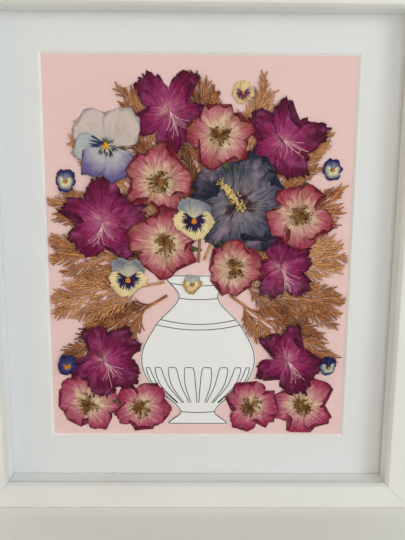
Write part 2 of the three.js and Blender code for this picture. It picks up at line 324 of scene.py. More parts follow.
def shifted(grid, rows, columns):
    padded = np.pad(grid, 4, mode="edge")
    return padded[4 + rows:4 + rows + grid.shape[0], 4 + columns:4 + columns + grid.shape[1]]


def softPile(softness):  # spread to the neighbouring cells, then smoothed that many times
    soft = np.max([shifted(pileHeights, r, c) for r in (-1, 0, 1) for c in (-1, 0, 1)], axis=0)
    for _ in range(softness):
        soft = sum(shifted(soft, r, c) * (2 - abs(r)) * (2 - abs(c)) / 16
                   for r in (-1, 0, 1) for c in (-1, 0, 1))
    return np.maximum(soft, pileHeights)


def pileCell(x, y):  # column and row in the pile, not rounded
    return ((np.asarray(x) + pile["halfWidth"]) / pile["cell"],
            (np.asarray(y) + pile["halfHeight"]) / pile["cell"])


def sampleGrid(grid, x, y):
    column, row = pileCell(x, y)
    column, row = np.clip(column, 0, pileColumns - 1.001), np.clip(row, 0, pileRows - 1.001)
    c, r = column.astype(int), row.astype(int)
    dc, dr = column - c, row - r
    low = grid[r, c] * (1 - dc) + grid[r, c + 1] * dc
    high = grid[r + 1, c] * (1 - dc) + grid[r + 1, c + 1] * dc
    return low * (1 - dr) + high * dr


def raisePile(x, y, height):
    column, row = pileCell(x, y)
    column = np.clip(np.rint(column), 0, pileColumns - 1).astype(int)
    row = np.clip(np.rint(row), 0, pileRows - 1).astype(int)
    np.maximum.at(pileHeights, (row, column), height)


def insideWindow(x, y):
    return (np.clip(x, -window["halfWidth"], window["halfWidth"]),
            np.clip(y, -window["halfHeight"], window["halfHeight"]))


def onCard(x, y, height):  # mm from the window's centre and above the card, to the frame's metres
    return Vector((x * mm, cardFront - height * mm, pictureZ + y * mm))


def aside(x, y, heading, far):  # a place that far from another, the heading in radians
    return x + far * math.cos(heading), y + far * math.sin(heading)


def curve(a, b, c, t):  # from a to c, drawn towards b
    return (1 - t) ** 2 * a + 2 * t * (1 - t) * b + t ** 2 * c


def petalChart(add):  # u round the claw and v out to the rim, then v alone, and how near the rim
    chart = add("UVMap", {"uv_map": "petalMap"})
    edge = add("Attribute", {"attribute_name": "rim"}).outputs["Fac"]
    return chart, add("SeparateXYZ", {}, {0: chart}).outputs["Y"], edge


# Petal dried flat under weight: the pigment darkens at the rim and along the veins, the surface is matte
def pressedPetal(name, stops, vein, veinShare, rim, rimShare, blush, mottle, stain, stainShare, veins=22.0):
    material, add, spot = newMaterial(name)
    chart, out, edge = petalChart(add)
    tone = add("Attribute", {"attribute_name": "tone"}).outputs["Fac"]
    # clouds of 5 mm
    blotch = add("TexNoise", {"Scale": 190.0, "Detail": 5.0, "Roughness": 0.6}, {"Vector": spot})
    # veins run from the claw to the rim, so their noise is stretched along v, and set apart by the tone
    shift = add("CombineXYZ", {}, {"X": tone, "Y": tone})
    fine = add("Mapping", {"Scale": (veins, 2.2, 1.0)}, {"Vector": chart})
    fineApart = add("VectorMath", {"operation": "MULTIPLY_ADD", 1: (40.0, 40.0, 40.0)},
                    {0: shift, 2: fine})
    lines = add("TexNoise", {"Scale": 1.6, "Detail": 4.0, "Roughness": 0.62, "Distortion": 0.25},
                {"Vector": fineApart})
    broad = add("Mapping", {"Scale": (veins * 0.4, 1.4, 1.0)}, {"Vector": chart})
    broadApart = add("VectorMath", {"operation": "MULTIPLY_ADD", 1: (70.0, 70.0, 70.0)},
                     {0: shift, 2: broad})
    streaks = add("TexNoise", {"Scale": 1.0, "Detail": 3.0, "Distortion": 0.4}, {"Vector": broadApart})
    both = add("Math", {"operation": "ADD"}, {0: blotch, 1: streaks})
    wander = add("MapRange", {"From Min": 0.6, "From Max": 1.4, "To Min": -0.2, "To Max": 0.2},
                 {"Value": both})
    # pigment reaches in from the rim along the veins
    comb = add("MapRange", {"From Min": 0.35, "From Max": 0.65, "To Min": -0.1, "To Max": 0.12},
               {"Value": lines})
    for push in (comb, wander, tone):
        out = add("Math", {"operation": "ADD"}, {0: out, 1: push})
    ground = add("ValToRGB", {"stops": stops}, {"Fac": out})
    veined = layPigment(add, ground, vein, veinShare, lines, 0.5, 0.68)
    clouded = layPigment(add, veined, blush, mottle, both, 0.98, 1.3)
    # stains where sap or what lies behind came through
    patch = add("TexNoise", {"Scale": 75.0, "Detail": 4.0, "Distortion": 0.5}, {"Vector": spot})
    stained = layPigment(add, clouded, stain, stainShare, patch, 0.58, 0.7)
    rimNoise = add("Math", {"operation": "MULTIPLY_ADD", 1: 0.22}, {0: blotch, 2: edge})
    rimmed = layPigment(add, stained, rim, rimShare, rimNoise, 0.92, 1.1)
    return finishMaterial(material, rimmed, {"Roughness": 0.72, "IOR": 1.4, "Specular IOR Level": 0.2},
                          (0.7, 0.5 * mm, lines))


# Dry plant tissue other than petals: fibrous, matte, two browns or greens clouded together
def dryTissue(name, light, dark, scale, roughness=0.8):
    material, add, spot = newMaterial(name)
    cloud, tint = cloudTones(add, spot, {"Scale": scale, "Detail": 4.0}, [(0.35, dark), (0.65, light)])
    return finishMaterial(material, tint, {"Roughness": roughness, "IOR": 1.4, "Specular IOR Level": 0.25},
                          (0.3, 0.2 * mm, cloud))


# Cypress foliage dried brown: overlapping scale leaves, paler on their backs, partly as painted light on
# the side that faces up, darker at each joint
def driedCypress():
    material, add, spot = newMaterial("dried cypress foliage")
    # the tone holds random shifts and also painted shade: lower levels of sprays are darker
    tone = add("Attribute", {"attribute_name": "tone"}).outputs["Fac"]
    joint = add("Attribute", {"attribute_name": "joint"}).outputs["Fac"]
    cloud = add("TexNoise", {"Scale": 120.0, "Detail": 3.0}, {"Vector": spot})
    fleck = add("TexNoise", {"Scale": 1500.0, "Detail": 2.0}, {"Vector": spot})
    # the tone also carries painted light: each twig's upper side is paler
    mixed = add("Math", {"operation": "MULTIPLY_ADD", 1: 0.55}, {0: cloud, 2: tone})
    flecked = add("Math", {"operation": "MULTIPLY_ADD", 1: 0.15}, {0: fleck, 2: mixed})
    browns = [(0.05, "60351B"), (0.3, "AE673B"), (0.55, "DD9A63"), (0.8, "F2BC88")]
    tint = add("ValToRGB", {"stops": browns}, {"Fac": flecked})
    jointed = layPigment(add, tint, "6A3A1C", 0.3, joint, 0.0, 1.0)
    return finishMaterial(material, jointed, {"Roughness": 0.7, "IOR": 1.42, "Specular IOR Level": 0.25},
                          (0.35, 0.2 * mm, fleck))


rosePetals = {
    "crimson": pressedPetal(
        "pressed rose petal, crimson rim",
        [(0.0, "E6D4A6"), (0.28, "E0C8A2"), (0.47, "D29C90"),
         (0.65, "BC6674"), (0.83, "9C2C46"), (1.0, "740E26")],
        "8E3440", 0.5, "5E0A1A", 0.95, "D4AE9C", 0.4, "966A38", 0.5),
    "magenta": pressedPetal(
        "pressed rose petal, magenta rim",
        [(0.0, "E6D4A8"), (0.26, "E0C6A2"), (0.43, "D09690"),
         (0.59, "BC6076"), (0.78, "A02A54"), (1.0, "760E36")],
        "942C4C", 0.5, "640A2C", 0.95, "DCA8A8", 0.35, "A07850", 0.3),
}
azaleaPetal = pressedPetal(
    "pressed azalea petal",
    [(0.0, "D09298"), (0.16, "B4587E"), (0.38, "901C56"), (0.65, "6C083C"), (1.0, "440220")],
    "46041F", 0.7, "330214", 0.8, "BA5290", 0.6, "40061F", 0.6)
hibiscusPetal = pressedPetal(
    "pressed hibiscus petal",
    [(0.0, "361A24"), (0.2, "4A2630"), (0.32, "7C757A"),
     (0.5, "605F6E"), (0.72, "454459"), (1.0, "2B2A40")],
    "232237", 0.95, "1A1A2E", 0.95, "9A8494", 0.9, "2E3A2C", 0.7, veins=34.0)
print("petal materials made")


def finishBloom(node, bm, materials):  # a node's name is its slot and a number
    settle(makeObject("pressed_" + node, bm, materials), node)


def thicken(bm, faces, thickness):  # a sheet gets a second face along its own normals, and a rim
    grown = only("Vert", bmesh.ops.extrude_face_region(bm, geom=faces)["geom"])
    for v in grown:
        v.normal_update()
    for v, normal in [(v, v.normal.copy()) for v in grown]:
        v.co += normal * thickness


petals = {
    "cells": 20,  # along a side
    "thickness": 0.12, "clearance": 0.08, "flap": 0.24,  # in mm
    "turnBack": 1.9,  # 2 would fold a rim quite flat
}


# A petal starts as a square grid, which is rounded into a blade and ruffled. Its rim is then folded back
# along creases, and the whole is laid on the pile. All in mm, with the claw at the bloom's centre.
def layPetal(bm, centre, heading, shape, rng, material=0):
    length, width = shape["length"], shape["width"]
    cells = shape.get("cells", petals["cells"])
    seed, tone = rng.uniform(0, 500), rng.uniform(-0.06, 0.06)
    chart = bm.loops.layers.uv["petalMap"]
    rimLayer = bm.verts.layers.float["rim"]
    toneLayer = bm.verts.layers.float["tone"]
    made = bmesh.ops.create_grid(bm, x_segments=cells, y_segments=cells, size=1.0)
    uv = {}

    def rise(px, py):  # height of the blade at a place on it: a wavy rim, sharp creases and soft swells
        along, angle = py / length, math.atan2(px, py + 0.15 * length)
        out = min(1.1, math.hypot(2 * px / width, 2 * along - 1))
        wave = 0.5 + 0.5 * math.sin(angle * shape["waves"] + seed)
        ruffle = shape["ruffle"] * out ** 3 * max(along, 0) * wave
        ridge = max(0.0, 1 - 5 * abs(waver(angle * 3.2, along * 0.8, seed)))
        swell = max(0.0, waver(angle * 5.0, along * 1.6, seed + 3))
        return ruffle + shape["crease"] * (0.7 * ridge + swell) * smoothStep(0.1, 0.5, along)

    for v in made["verts"]:
        s, b = v.co.x, v.co.y
        rim = max(abs(s), abs(b))
        along = (b * math.sqrt(1 - 0.5 * s * s) + 1) / 2
        x = s * math.sqrt(1 - 0.5 * b * b)
        angle = math.atan2(x, along + 0.15)
        grow = 1 + 0.16 * waver(angle * 2.2, seed, rim) * rim ** 3
        grow += shape["ragged"] * waver(angle * 8.0, seed + 7, 0.0) * rim ** 8
        grow += shape.get("scallop", 0.0) * waver(angle * 24.0, seed + 9, 0.0) * rim ** 12
        blade = shape["claw"] + (1 - shape["claw"]) * smoothStep(0.0, 0.6, along)
        px = x * blade * width / 2 * grow
        py = along * length * (1 + (grow - 1) * along)
        py -= shape["notch"] * length * math.exp(-(x / 0.25) ** 2) * smoothStep(0.55, 1.0, along)
        v.co = Vector((px, py, rise(px, py)))
        v[rimLayer] = rim * smoothStep(0.2, 0.55, along)
        v[toneLayer] = tone
        uv[v] = (0.5 + math.atan2(px, py + 0.12 * length) / math.pi, math.hypot(px, py) / length)
    faces = list({f for v in made["verts"] for f in v.link_faces})
    for f in faces:
        for loop in f.loops:
            loop[chart].uv = uv[loop.vert]
    geometry = made["verts"] + list({e for f in faces for e in f.edges}) + faces
    for degrees, out in shape.get("folds", ()):  # off the petal's axis, and share of its half width
        normal = Vector((math.sin(math.radians(degrees)), math.cos(math.radians(degrees)), 0))
        crease = Vector((0, 0.52 * length, 0)) + normal * out * 0.5 * min(length, width)
        cut = bmesh.ops.bisect_plane(bm, geom=geometry, plane_co=crease, plane_no=normal)
        geometry = cut["geom"]
        for v in only("Vert", geometry):
            past = (v.co - crease).dot(normal)
            if past > 0.001:
                over = v.co.z - rise(v.co.x, v.co.y)
                v.co -= normal * past * petals["turnBack"]
                v.co.z = rise(v.co.x, v.co.y) + over + petals["flap"]
                v[rimLayer] = 0.75 + 0.25 * v[rimLayer]
    verts, faces = only("Vert", geometry), only("Face", geometry)
    turn = math.radians(heading)
    flat = np.array([v.co for v in verts])
    x, y = insideWindow(centre[0] + flat[:, 0] * math.cos(turn) - flat[:, 1] * math.sin(turn),
                        centre[1] + flat[:, 0] * math.sin(turn) + flat[:, 1] * math.cos(turn))
    h = sampleGrid(softPile(1), x, y) + petals["clearance"] + flat[:, 2]
    for v, place in zip(verts, zip(x, y, h)):
        v.co = onCard(*place)
    raisePile(x, y, h + petals["thickness"])
    faceFront(bm, faces)
    for f in faces:
        f.material_index = material
    thicken(bm, faces, petals["thickness"] * mm)


def drawShape(petal, half, folds, rng):  # a pair is a span to draw from, sizes are shares of half a bloom
    shape = {key: rng.uniform(*value) if isinstance(value, tuple) else value
             for key, value in petal.items()}
    return {**shape, "length": half * shape["length"], "width": half * shape["width"], "folds": folds}


def newBloom():
    bm = newMesh("rim", "tone")
    bm.loops.layers.uv.new("petalMap")
    return bm


def makeThread(sides, rings, pinch, tip):  # a unit tube along Z, pinched at every other ring
    bm = newMesh("joint", "tone")
    joint = bm.verts.layers.float["joint"]
    bmesh.ops.create_circle(bm, cap_ends=True, segments=sides, radius=1.0)
    end = list(bm.faces)[0]
    for _ in range(1, rings):
        grown = bmesh.ops.extrude_face_region(bm, geom=[end] + end.edges[:] + end.verts[:])["geom"]
        end = only("Face", grown)[0]
        bmesh.ops.translate(bm, verts=end.verts[:], vec=(0, 0, 1 / (rings - 1)))
    for v in bm.verts:
        ring = round(v.co.z * (rings - 1))
        v[joint] = float(ring % 2)
        size = tip if ring == rings - 1 else pinch if ring % 2 else 1.0
        v.co.x *= size
        v.co.y *= size
    bmesh.ops.recalc_face_normals(bm, faces=bm.faces)
    return closeMesh("thread", bm)


def makeGrain():
    bm = newMesh("tone")
    bmesh.ops.create_icosphere(bm, subdivisions=1, radius=1.0)
    return closeMesh("grain", bm)


scaleTwig = makeThread(4, 8, 0.82, 0.6)
fineThread = makeThread(4, 7, 0.9, 0.6)
grain = makeGrain()


def multiply(template, count):  # so many copies in one mesh, and the places of their points
    holder = link("copies", template)
    array = holder.modifiers.new("copies", "ARRAY")
    array.count = count
    array.use_relative_offset = False
    graph = bpy.context.evaluated_depsgraph_get()
    mesh = bpy.data.meshes.new_from_object(holder.evaluated_get(graph))
    bpy.data.objects.remove(holder)
    points = np.zeros(len(mesh.vertices) * 3)
    mesh.vertices.foreach_get("co", points)
    return mesh, points.reshape(count, -1, 3)


def placePoints(bm, mesh, x, y, h, tone, material):  # and add the mesh to the piece's own
    places = np.stack([x * mm, cardFront - h * mm, pictureZ + y * mm], axis=-1)
    mesh.vertices.foreach_set("co", places.ravel())
    mesh.attributes["tone"].data.foreach_set("value", np.broadcast_to(tone, x.shape).ravel())
    mesh.polygons.foreach_set("material_index", np.full(len(mesh.polygons), material))
    mesh.update()
    bm.from_mesh(mesh)
    bpy.data.meshes.remove(mesh)


# Each thread is a row: start x, y, middle x, y, end x, y, radius, share of it lost at the end, lift, tone
def layThreads(bm, template, rows, flatness, softness=1, material=0, rest=0.0, ridge=0.0):
    mesh, points = multiply(template, len(rows))
    ax, ay, bx, by, cx, cy, radius, taper, lift, tone = (np.array(rows)[:, i:i + 1] for i in range(10))
    soft = softPile(softness)

    def middle(t):
        x, y = curve(ax, bx, cx, t), curve(ay, by, cy, t)
        h = sampleGrid(soft, x, y) + petals["clearance"] + rest + lift * (1 - (1 - t) ** 3)
        return x, y, h + radius * flatness

    t = points[:, :, 2]
    x, y, h = middle(t)
    dx = (1 - t) * (bx - ax) + t * (cx - bx)
    dy = (1 - t) * (by - ay) + t * (cy - by)
    size = np.maximum(np.hypot(dx, dy), 1e-6)
    across = points[:, :, 0] * radius * (1 - taper * t)
    h = h + points[:, :, 1] * radius * flatness * (1 - taper * t)
    x, y = insideWindow(x - dy / size * across, y + dx / size * across)
    # the ridge term paints the upper side of each thread paler: partly painted light
    placePoints(bm, mesh, x, y, h, tone + ridge * (points[:, :, 1] - 0.4), material)
    spineX, spineY, spineHeight = middle(np.linspace(0, 1, 25)[None, :])
    raisePile(spineX, spineY, spineHeight + radius * flatness)


# Each grain is a row: x, y, height over the pile, length, breadth, turn in degrees, tone
def layGrains(bm, rows, material):
    mesh, points = multiply(grain, len(rows))
    rows = np.array(rows)
    cx, cy, over, long, broad, turn, tone = (rows[:, i:i + 1] for i in range(7))
    turn = np.radians(turn)
    px, py, pz = points[:, :, 0] * long / 2, points[:, :, 1] * broad / 2, points[:, :, 2] * broad / 2
    x, y = insideWindow(cx + px * np.cos(turn) - py * np.sin(turn),
                        cy + px * np.sin(turn) + py * np.cos(turn))
    h = sampleGrid(softPile(0), cx, cy) + over + broad / 2 + pz
    placePoints(bm, mesh, x, y, h, tone, material)


def straight(start, end, radius, taper, lift):  # a row for a thread that doesn't bend
    return (*start, (start[0] + end[0]) / 2, (start[1] + end[1]) / 2, *end, radius, taper, lift, 0.0)


vase = {
    "base": -113, "height": 100, "thickness": 0.3, "lift": 0.1, "wave": 0.35, "waveSize": 22,  # in mm
    # half width in mm, and share of the height
    "profile": [(20, 0), (12, 0.09), (31.8, 0.28), (37, 0.47), (27.4, 0.68), (13, 0.86), (22, 1)],
    "penWidth": 0.5, "penInset": 0.7,
    # height from the window's centre and bow of each line across, in mm: lip, neck, foot, stem and body
    "bands": ((-13.7, 0), (-18.5, -1.6), (-112.3, 0), (-104, -0.8), (-28, -1), (-42, -3.2), (-45.5, -3.4)),
    "flutes": {"count": 4, "from": -98, "to": -74, "round": (2.6, 0.35)},
}


def vaseHalfWidth(y):  # a smooth curve through the profile
    share, points = (y - vase["base"]) / vase["height"], vase["profile"]
    for k in range(len(points) - 1):
        if share <= points[k + 1][1] or k == len(points) - 2:
            before, start = points[max(k - 1, 0)], points[k]
            end, after = points[k + 1], points[min(k + 2, len(points) - 1)]
            t = (share - start[1]) / (end[1] - start[1])
            a, b, c, d = before[0], start[0], end[0], after[0]
            return 0.5 * (2 * b + (c - a) * t + (2 * a - 5 * b + 4 * c - d) * t * t
                          + (3 * b - a - 3 * c + d) * t ** 3)
    return points[-1][0]


def cutVase():
    bm = newMesh()
    made = bmesh.ops.create_grid(bm, x_segments=24, y_segments=110, size=1.0)
    for v in made["verts"]:
        y = vase["base"] + (v.co.y + 1) / 2 * vase["height"]
        x = v.co.x * vaseHalfWidth(y)
        wave = max(0.0, waver(x / vase["waveSize"], y / vase["waveSize"], 3.0)) * abs(v.co.x)
        top = vase["lift"] + vase["thickness"] + vase["wave"] * wave
        v.co = onCard(x, y, top)
        raisePile([x], [y], top)
    faceFront(bm, bm.faces)
    bmesh.ops.solidify(bm, geom=bm.faces[:], thickness=vase["thickness"] * mm)
    bmesh.ops.recalc_face_normals(bm, faces=bm.faces)
    piece = makeObject("vase_card_cut_out", bm, [whiteCard])
    piece.data.set_sharp_from_angle(angle=math.radians(40))
    settle(piece, "vase_card")


def penLines():  # ink stands a hair above the card
    rows = []
    inset, low, height = vase["penInset"], vase["base"], vase["height"]

    def stroke(points):
        for k in range(len(points) - 1):
            rows.append(straight(points[k], points[k + 1], vase["penWidth"] / 2, 0.0, 0.0))

    for side in (-1, 1):
        stroke([(side * (vaseHalfWidth(low + k / 60 * height) - inset),
                 low + inset + k / 60 * (height - 2 * inset)) for k in range(61)])
    for level, bow in vase["bands"]:
        reach = vaseHalfWidth(level) - inset
        stroke([(reach * (k / 10 - 1), level + bow * (1 - (k / 10 - 1) ** 2)) for k in range(21)])
    flutes = vase["flutes"]
    foot, tip, count = flutes["from"], flutes["to"], flutes["count"]
    tall, wide = flutes["round"]
    for flute in range(-count, count):  # round-topped, closer together towards the sides
        edges = [math.sin((flute + e) / count * 1.3) for e in (0.12, 0.5, 0.88)]
        path = []
        for k in range(41):
            along = abs(k / 20 - 1)  # from one side of the flute up over its top and down the other
            y = foot + (tip - foot) * (1 - along ** tall)
            across = edges[1] + (edges[0 if k < 20 else 2] - edges[1]) * along ** wide
            path.append((across * (vaseHalfWidth(y) - inset), y))
        stroke(path)
    bm = newMesh("joint", "tone")
    layThreads(bm, penStroke, rows, 0.12, softness=0, rest=-petals["clearance"] + 0.01)
    piece = makeObject("vase_pen_lines", bm, [ink])
    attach(piece, "root")


penStroke = makeThread(4, 2, 1.0, 1.0)
ink = dryTissue("black drawing ink", "2E2B2A", "1C1A1A", 900.0, roughness=0.6)
cutVase()
penLines()
print("vase cut and drawn")

cypress = {
    "root": (0, -13),  # the middle of the vase's mouth, in mm
    "stemRadius": 0.9, "primaryRadius": 0.7, "twigRadius": 0.62,
    "primaryEvery": 5.6, "twigEvery": 2.25,  # mm along the stem that bears them
    "primaryAngle": 31, "twigAngle": 24,
    "levelShade": 0.1,  # how much paler each level of sprays is than the one below: painted shade, the lower sprays darkened as if in the shadow of those over them
    "fuller": 0.3,  # mm less between the twigs of each lower level
    "ridge": 0.34,  # how much paler a twig's back is than its flanks: partly its paler facial leaves, partly painted light on the side that faces up
    "flatness": 0.85,
    "bare": 0.14, "bearing": 0.84,  # share of a stem below its side stems, and share that bears them
    "twigLengths": (4.5, 10.5), "forksOver": 8, "forkAngle": 26,  # mm, mm of twig, degrees
    "longest": 14,  # mm of twig made in one stretch
    "taper": 0.25,
    "spots": 5,  # of resin on each spray
}
# heading in degrees from the right, start and length in mm from the vase's mouth, width, level
sprays = [
    (-33, 24, 76, 30, 0), (-12, 22, 69, 32, 1), (9, 14, 76, 34, 2), (29, 14, 86, 34, 0),
    (50, 12, 104, 34, 1), (70, 10, 112, 34, 2), (90, 8, 112, 34, 0), (111, 10, 112, 34, 1),
    (131, 12, 104, 34, 2), (152, 14, 84, 34, 0), (172, 18, 72, 34, 1), (193, 22, 69, 32, 2),
    (214, 24, 76, 30, 0),
]
driedFoliage = driedCypress()
brownSpeck = dryTissue("dark resin spots", "4A2F1C", "2E1B10", 800.0)


def growTwig(rows, x, y, heading, length, radius, bend, rng, shade):
    mx, my = aside(x, y, math.radians(heading), length / 2)
    ex, ey = aside(mx, my, math.radians(heading) + math.radians(bend), length / 2)

    def along(t):  # place and heading at a share of the twig's length
        return curve(x, mx, ex, t), curve(y, my, ey, t), heading + bend * t

    pieces = max(1, round(length / cypress["longest"]))
    for k in range(pieces):  # a long stem bends over the pile in several stretches
        (ax, ay, _), (bx, by, _), (cx, cy, _) = (along((k + u) / pieces) for u in (0, 0.5, 1))
        tipLift = rng.uniform(0.0, 1.2) if k == pieces - 1 else 0.0
        thinner = radius * (1 - cypress["taper"] * k / pieces)
        rows.append((ax, ay, 2 * bx - (ax + cx) / 2, 2 * by - (ay + cy) / 2, cx, cy,
                     thinner, cypress["taper"] / pieces, tipLift, shade))
    return along


def pressSpray(number, heading, start, length, width, level, rng):
    rows = []
    x, y = aside(*cypress["root"], math.radians(heading), start)
    # painted shade: the lower levels of sprays are darker, as if shadowed by those over them
    tone = rng.uniform(-0.08, 0.08) + cypress["levelShade"] * (level - 1)
    stem = growTwig(rows, x, y, heading - 3, length, cypress["stemRadius"], rng.uniform(2, 8), rng,
                    tone + 0.1)
    count = int(length * cypress["bearing"] / cypress["primaryEvery"])
    shortest, longest = cypress["twigLengths"]
    for k in range(count):
        t = cypress["bare"] + cypress["bearing"] * k / count
        px, py, at = stem(t)
        side = 1 if k % 2 else -1
        angle = cypress["primaryAngle"] + rng.uniform(-6, 6) - 8 * t
        reach = width / 2 / math.sin(math.radians(angle)) * min(1.0, 1.5 * (1 - t) + 0.2)
        reach = min(reach * rng.uniform(0.8, 1.05), (1 - t) * length + 7)
        shade = tone + rng.uniform(-0.12, 0.12)
        primary = growTwig(rows, px, py, at + side * angle, reach, cypress["primaryRadius"],
                           -side * rng.uniform(4, 18), rng, shade + 0.05)
        twigs = max(2, int(reach * 0.9 / (cypress["twigEvery"] - cypress["fuller"] * (2 - level))))
        for j in range(twigs):
            u = 0.1 + 0.88 * j / twigs
            qx, qy, bearing = primary(u)
            hand = 1 if j % 2 else -1
            long = min(shortest + reach * 0.33 * (1 - u), longest) * rng.uniform(0.85, 1.15)
            bearing += hand * (cypress["twigAngle"] + rng.uniform(-4, 4))
            twig = growTwig(rows, qx, qy, bearing, long, cypress["twigRadius"] * rng.uniform(0.85, 1.1),
                            -hand * rng.uniform(0, 14), rng, shade + rng.uniform(-0.1, 0.1))
            if long > cypress["forksOver"]:
                sx, sy, way = twig(0.45)
                way += hand * (cypress["forkAngle"] + rng.uniform(-6, 6))
                growTwig(rows, sx, sy, way, long * 0.45, cypress["twigRadius"] * 0.85, 0.0, rng,
                         shade + rng.uniform(-0.1, 0.1))
    bm = newMesh("joint", "tone")
    layThreads(bm, scaleTwig, rows, cypress["flatness"], softness=2, ridge=cypress["ridge"])
    spots = [(*rng.choice(rows)[2:4], 0.1, rng.uniform(0.6, 1.3), 0.6, rng.uniform(0, 180), 0.0)
             for _ in range(cypress["spots"])]
    layGrains(bm, spots, 1)
    piece = makeObject("cypress_spray_" + str(number), bm, [driedFoliage, brownSpeck])
    settle(piece, "cypress_" + str(number))
    return len(rows)


twigCount = 0
for level in range(3):
    for number, (heading, start, length, width, at) in enumerate(sprays, 1):
        if at == level:
            rng = random.Random(100 + number)
            twigCount += pressSpray(number, heading, start, length, width, level, rng)
print("cypress pressed:", twigCount, "twigs")

anther = dryTissue("rose anthers, dried", "96622C", "4E2A12", 450.0)
roseFilament = dryTissue("rose filaments, dried", "C0924A", "7E4F22", 300.0)
pollen = dryTissue("hibiscus pollen", "F0D796", "C79F57", 900.0)
azaleaFilament = dryTissue("azalea filaments", "EFC3C9", "D894A8", 300.0)
throatDot = dryTissue("azalea throat spots", "5B0F2E", "3B0820", 300.0)
sepalGreen = dryTissue("sepals, dried", "6F6B3F", "47462B", 300.0)

roses = {
    "petals": 5, "stamens": 85, "reach": 7.6, "styles": 12,  # reach of the stamens in mm
    "petal": {"length": (1.0, 1.14), "width": (1.0, 1.25), "notch": (0.0, 0.1), "claw": 0.34,
              "ragged": 0.05, "ruffle": 0.5, "waves": 5, "crease": 0.5},
    "sepal": {"width": 5, "claw": 0.5, "notch": 0, "ragged": 0.02, "ruffle": 0.1, "waves": 3, "crease": 0.1,
              "cells": 8},
}


def pressRose(node, x, y, across, turn, rng, look):
    bm = newBloom()
    if rng.random() < 0.5:  # a sepal shows between two petals
        sepal = {**roses["sepal"], "length": across * 0.52}
        layPetal(bm, (x, y), turn + 36 + 72 * rng.randrange(5), sepal, rng, 3)
    for k in range(roses["petals"]):
        folds = [(rng.uniform(-55, 55), rng.uniform(0.62, 0.9))]
        if rng.random() < 0.5:
            folds.append((rng.choice((-1, 1)) * rng.uniform(50, 85), rng.uniform(0.6, 0.85)))
        shape = drawShape(roses["petal"], across / 2, folds, rng)
        layPetal(bm, (x, y), turn + 72 * k + rng.uniform(-9, 9), shape, rng)
    clumps = [(rng.uniform(0, 360), rng.uniform(2.4, 5.2)) for _ in range(3)]
    filaments, anthers = [], []
    for _ in range(roses["stamens"]):
        if rng.random() < 0.6:
            about, far = rng.choice(clumps)
            about, far = math.radians(about + rng.gauss(0, 24)), far + rng.gauss(0, 1.3)
        else:
            about, far = rng.uniform(0, 2 * math.pi), roses["reach"] * rng.uniform(0.4, 1.0)
        end = aside(x, y, about, far)
        filaments.append((*aside(x, y, about, 0.5), *aside(x, y, about + 0.3, far * 0.5), *end,
                          0.2, 0.3, 0.3, rng.uniform(-0.1, 0.1)))
        anthers.append((*end, rng.uniform(0.1, 0.7), rng.uniform(1.1, 1.9), rng.uniform(0.8, 1.2),
                        rng.uniform(0, 180), rng.uniform(-0.1, 0.1)))
    for _ in range(roses["styles"]):
        anthers.append((x + rng.gauss(0, 0.6), y + rng.gauss(0, 0.6), rng.uniform(0.1, 0.5),
                        0.7, 0.5, 0, 0))
    layThreads(bm, fineThread, filaments, 0.8, material=1)
    layGrains(bm, anthers, 2)
    finishBloom(node, bm, [rosePetals[look], roseFilament, anther, sepalGreen])


hibiscus = {
    "petals": 5, "columnHeading": 128, "columnLength": 16, "columnRadius": 0.9, "columnFoot": 5,
    "anthers": 170, "antherSpread": 2.7,
    "stigmas": (-42, -12, 22, 50), "stigmaLength": 3.4,  # off the column's heading in degrees, and in mm
    "petal": {"length": (0.98, 1.08), "width": 1.5, "claw": 0.5, "notch": 0.0, "ragged": 0.14,
              "scallop": 0.12, "ruffle": 0.9, "waves": 9, "crease": 0.8, "cells": 38},
}


def pressHibiscus(node, x, y, across, turn, rng):
    bm = newBloom()
    for k in range(hibiscus["petals"]):
        folds = [(rng.uniform(-50, 50), rng.uniform(0.84, 0.95))]
        if k in (1, 3):
            folds.append((rng.choice((-1, 1)) * 60, 0.86))
        shape = drawShape(hibiscus["petal"], across / 2, folds, rng)
        layPetal(bm, (x, y), turn + 72 * k + rng.uniform(-6, 6), shape, rng)
    way, long = math.radians(hibiscus["columnHeading"]), hibiscus["columnLength"]
    sx, sy = aside(x, y, way + math.pi, hibiscus["columnFoot"])
    mx, my = x + long * 0.35 * math.cos(way), y + long * 0.35 * math.sin(way) + 1.5
    ex, ey = aside(x, y, way, long)
    threads = [(sx, sy, mx, my, ex, ey, hibiscus["columnRadius"], 0.3, 0.0, 0.0)]
    grains = []
    for k in range(hibiscus["anthers"]):
        t = 0.12 + 0.86 * (k / hibiscus["anthers"]) ** 0.9
        spread = hibiscus["antherSpread"] * (1.15 - 0.55 * t) * 0.55
        grains.append((curve(sx, mx, ex, t) + rng.gauss(0, spread),
                       curve(sy, my, ey, t) + rng.gauss(0, spread), rng.uniform(0.2, 0.9),
                       rng.uniform(1.1, 1.9), rng.uniform(0.9, 1.3), rng.uniform(0, 180), 0.0))
    for degrees in hibiscus["stigmas"]:
        tip = aside(ex, ey, way + math.radians(degrees), hibiscus["stigmaLength"])
        threads.append(straight((ex, ey), tip, 0.3, 0.3, 0.2))
        grains.append((*tip, 0.3, 1.2, 0.9, 0, 0))
    layThreads(bm, fineThread, threads, 0.8, material=1)
    layGrains(bm, grains, 1)
    finishBloom(node, bm, [hibiscusPetal, pollen])


azaleas = {
    "petals": 5, "filaments": 9, "filamentLength": 15, "throatSpots": 16,
    "petal": {"length": (1.0, 1.15), "width": (0.78, 0.98), "notch": (0.0, 0.06), "claw": 0.55,
              "ragged": 0.14, "scallop": 0.08, "ruffle": 0.8, "waves": 10, "crease": 0.8, "cells": 24},
}


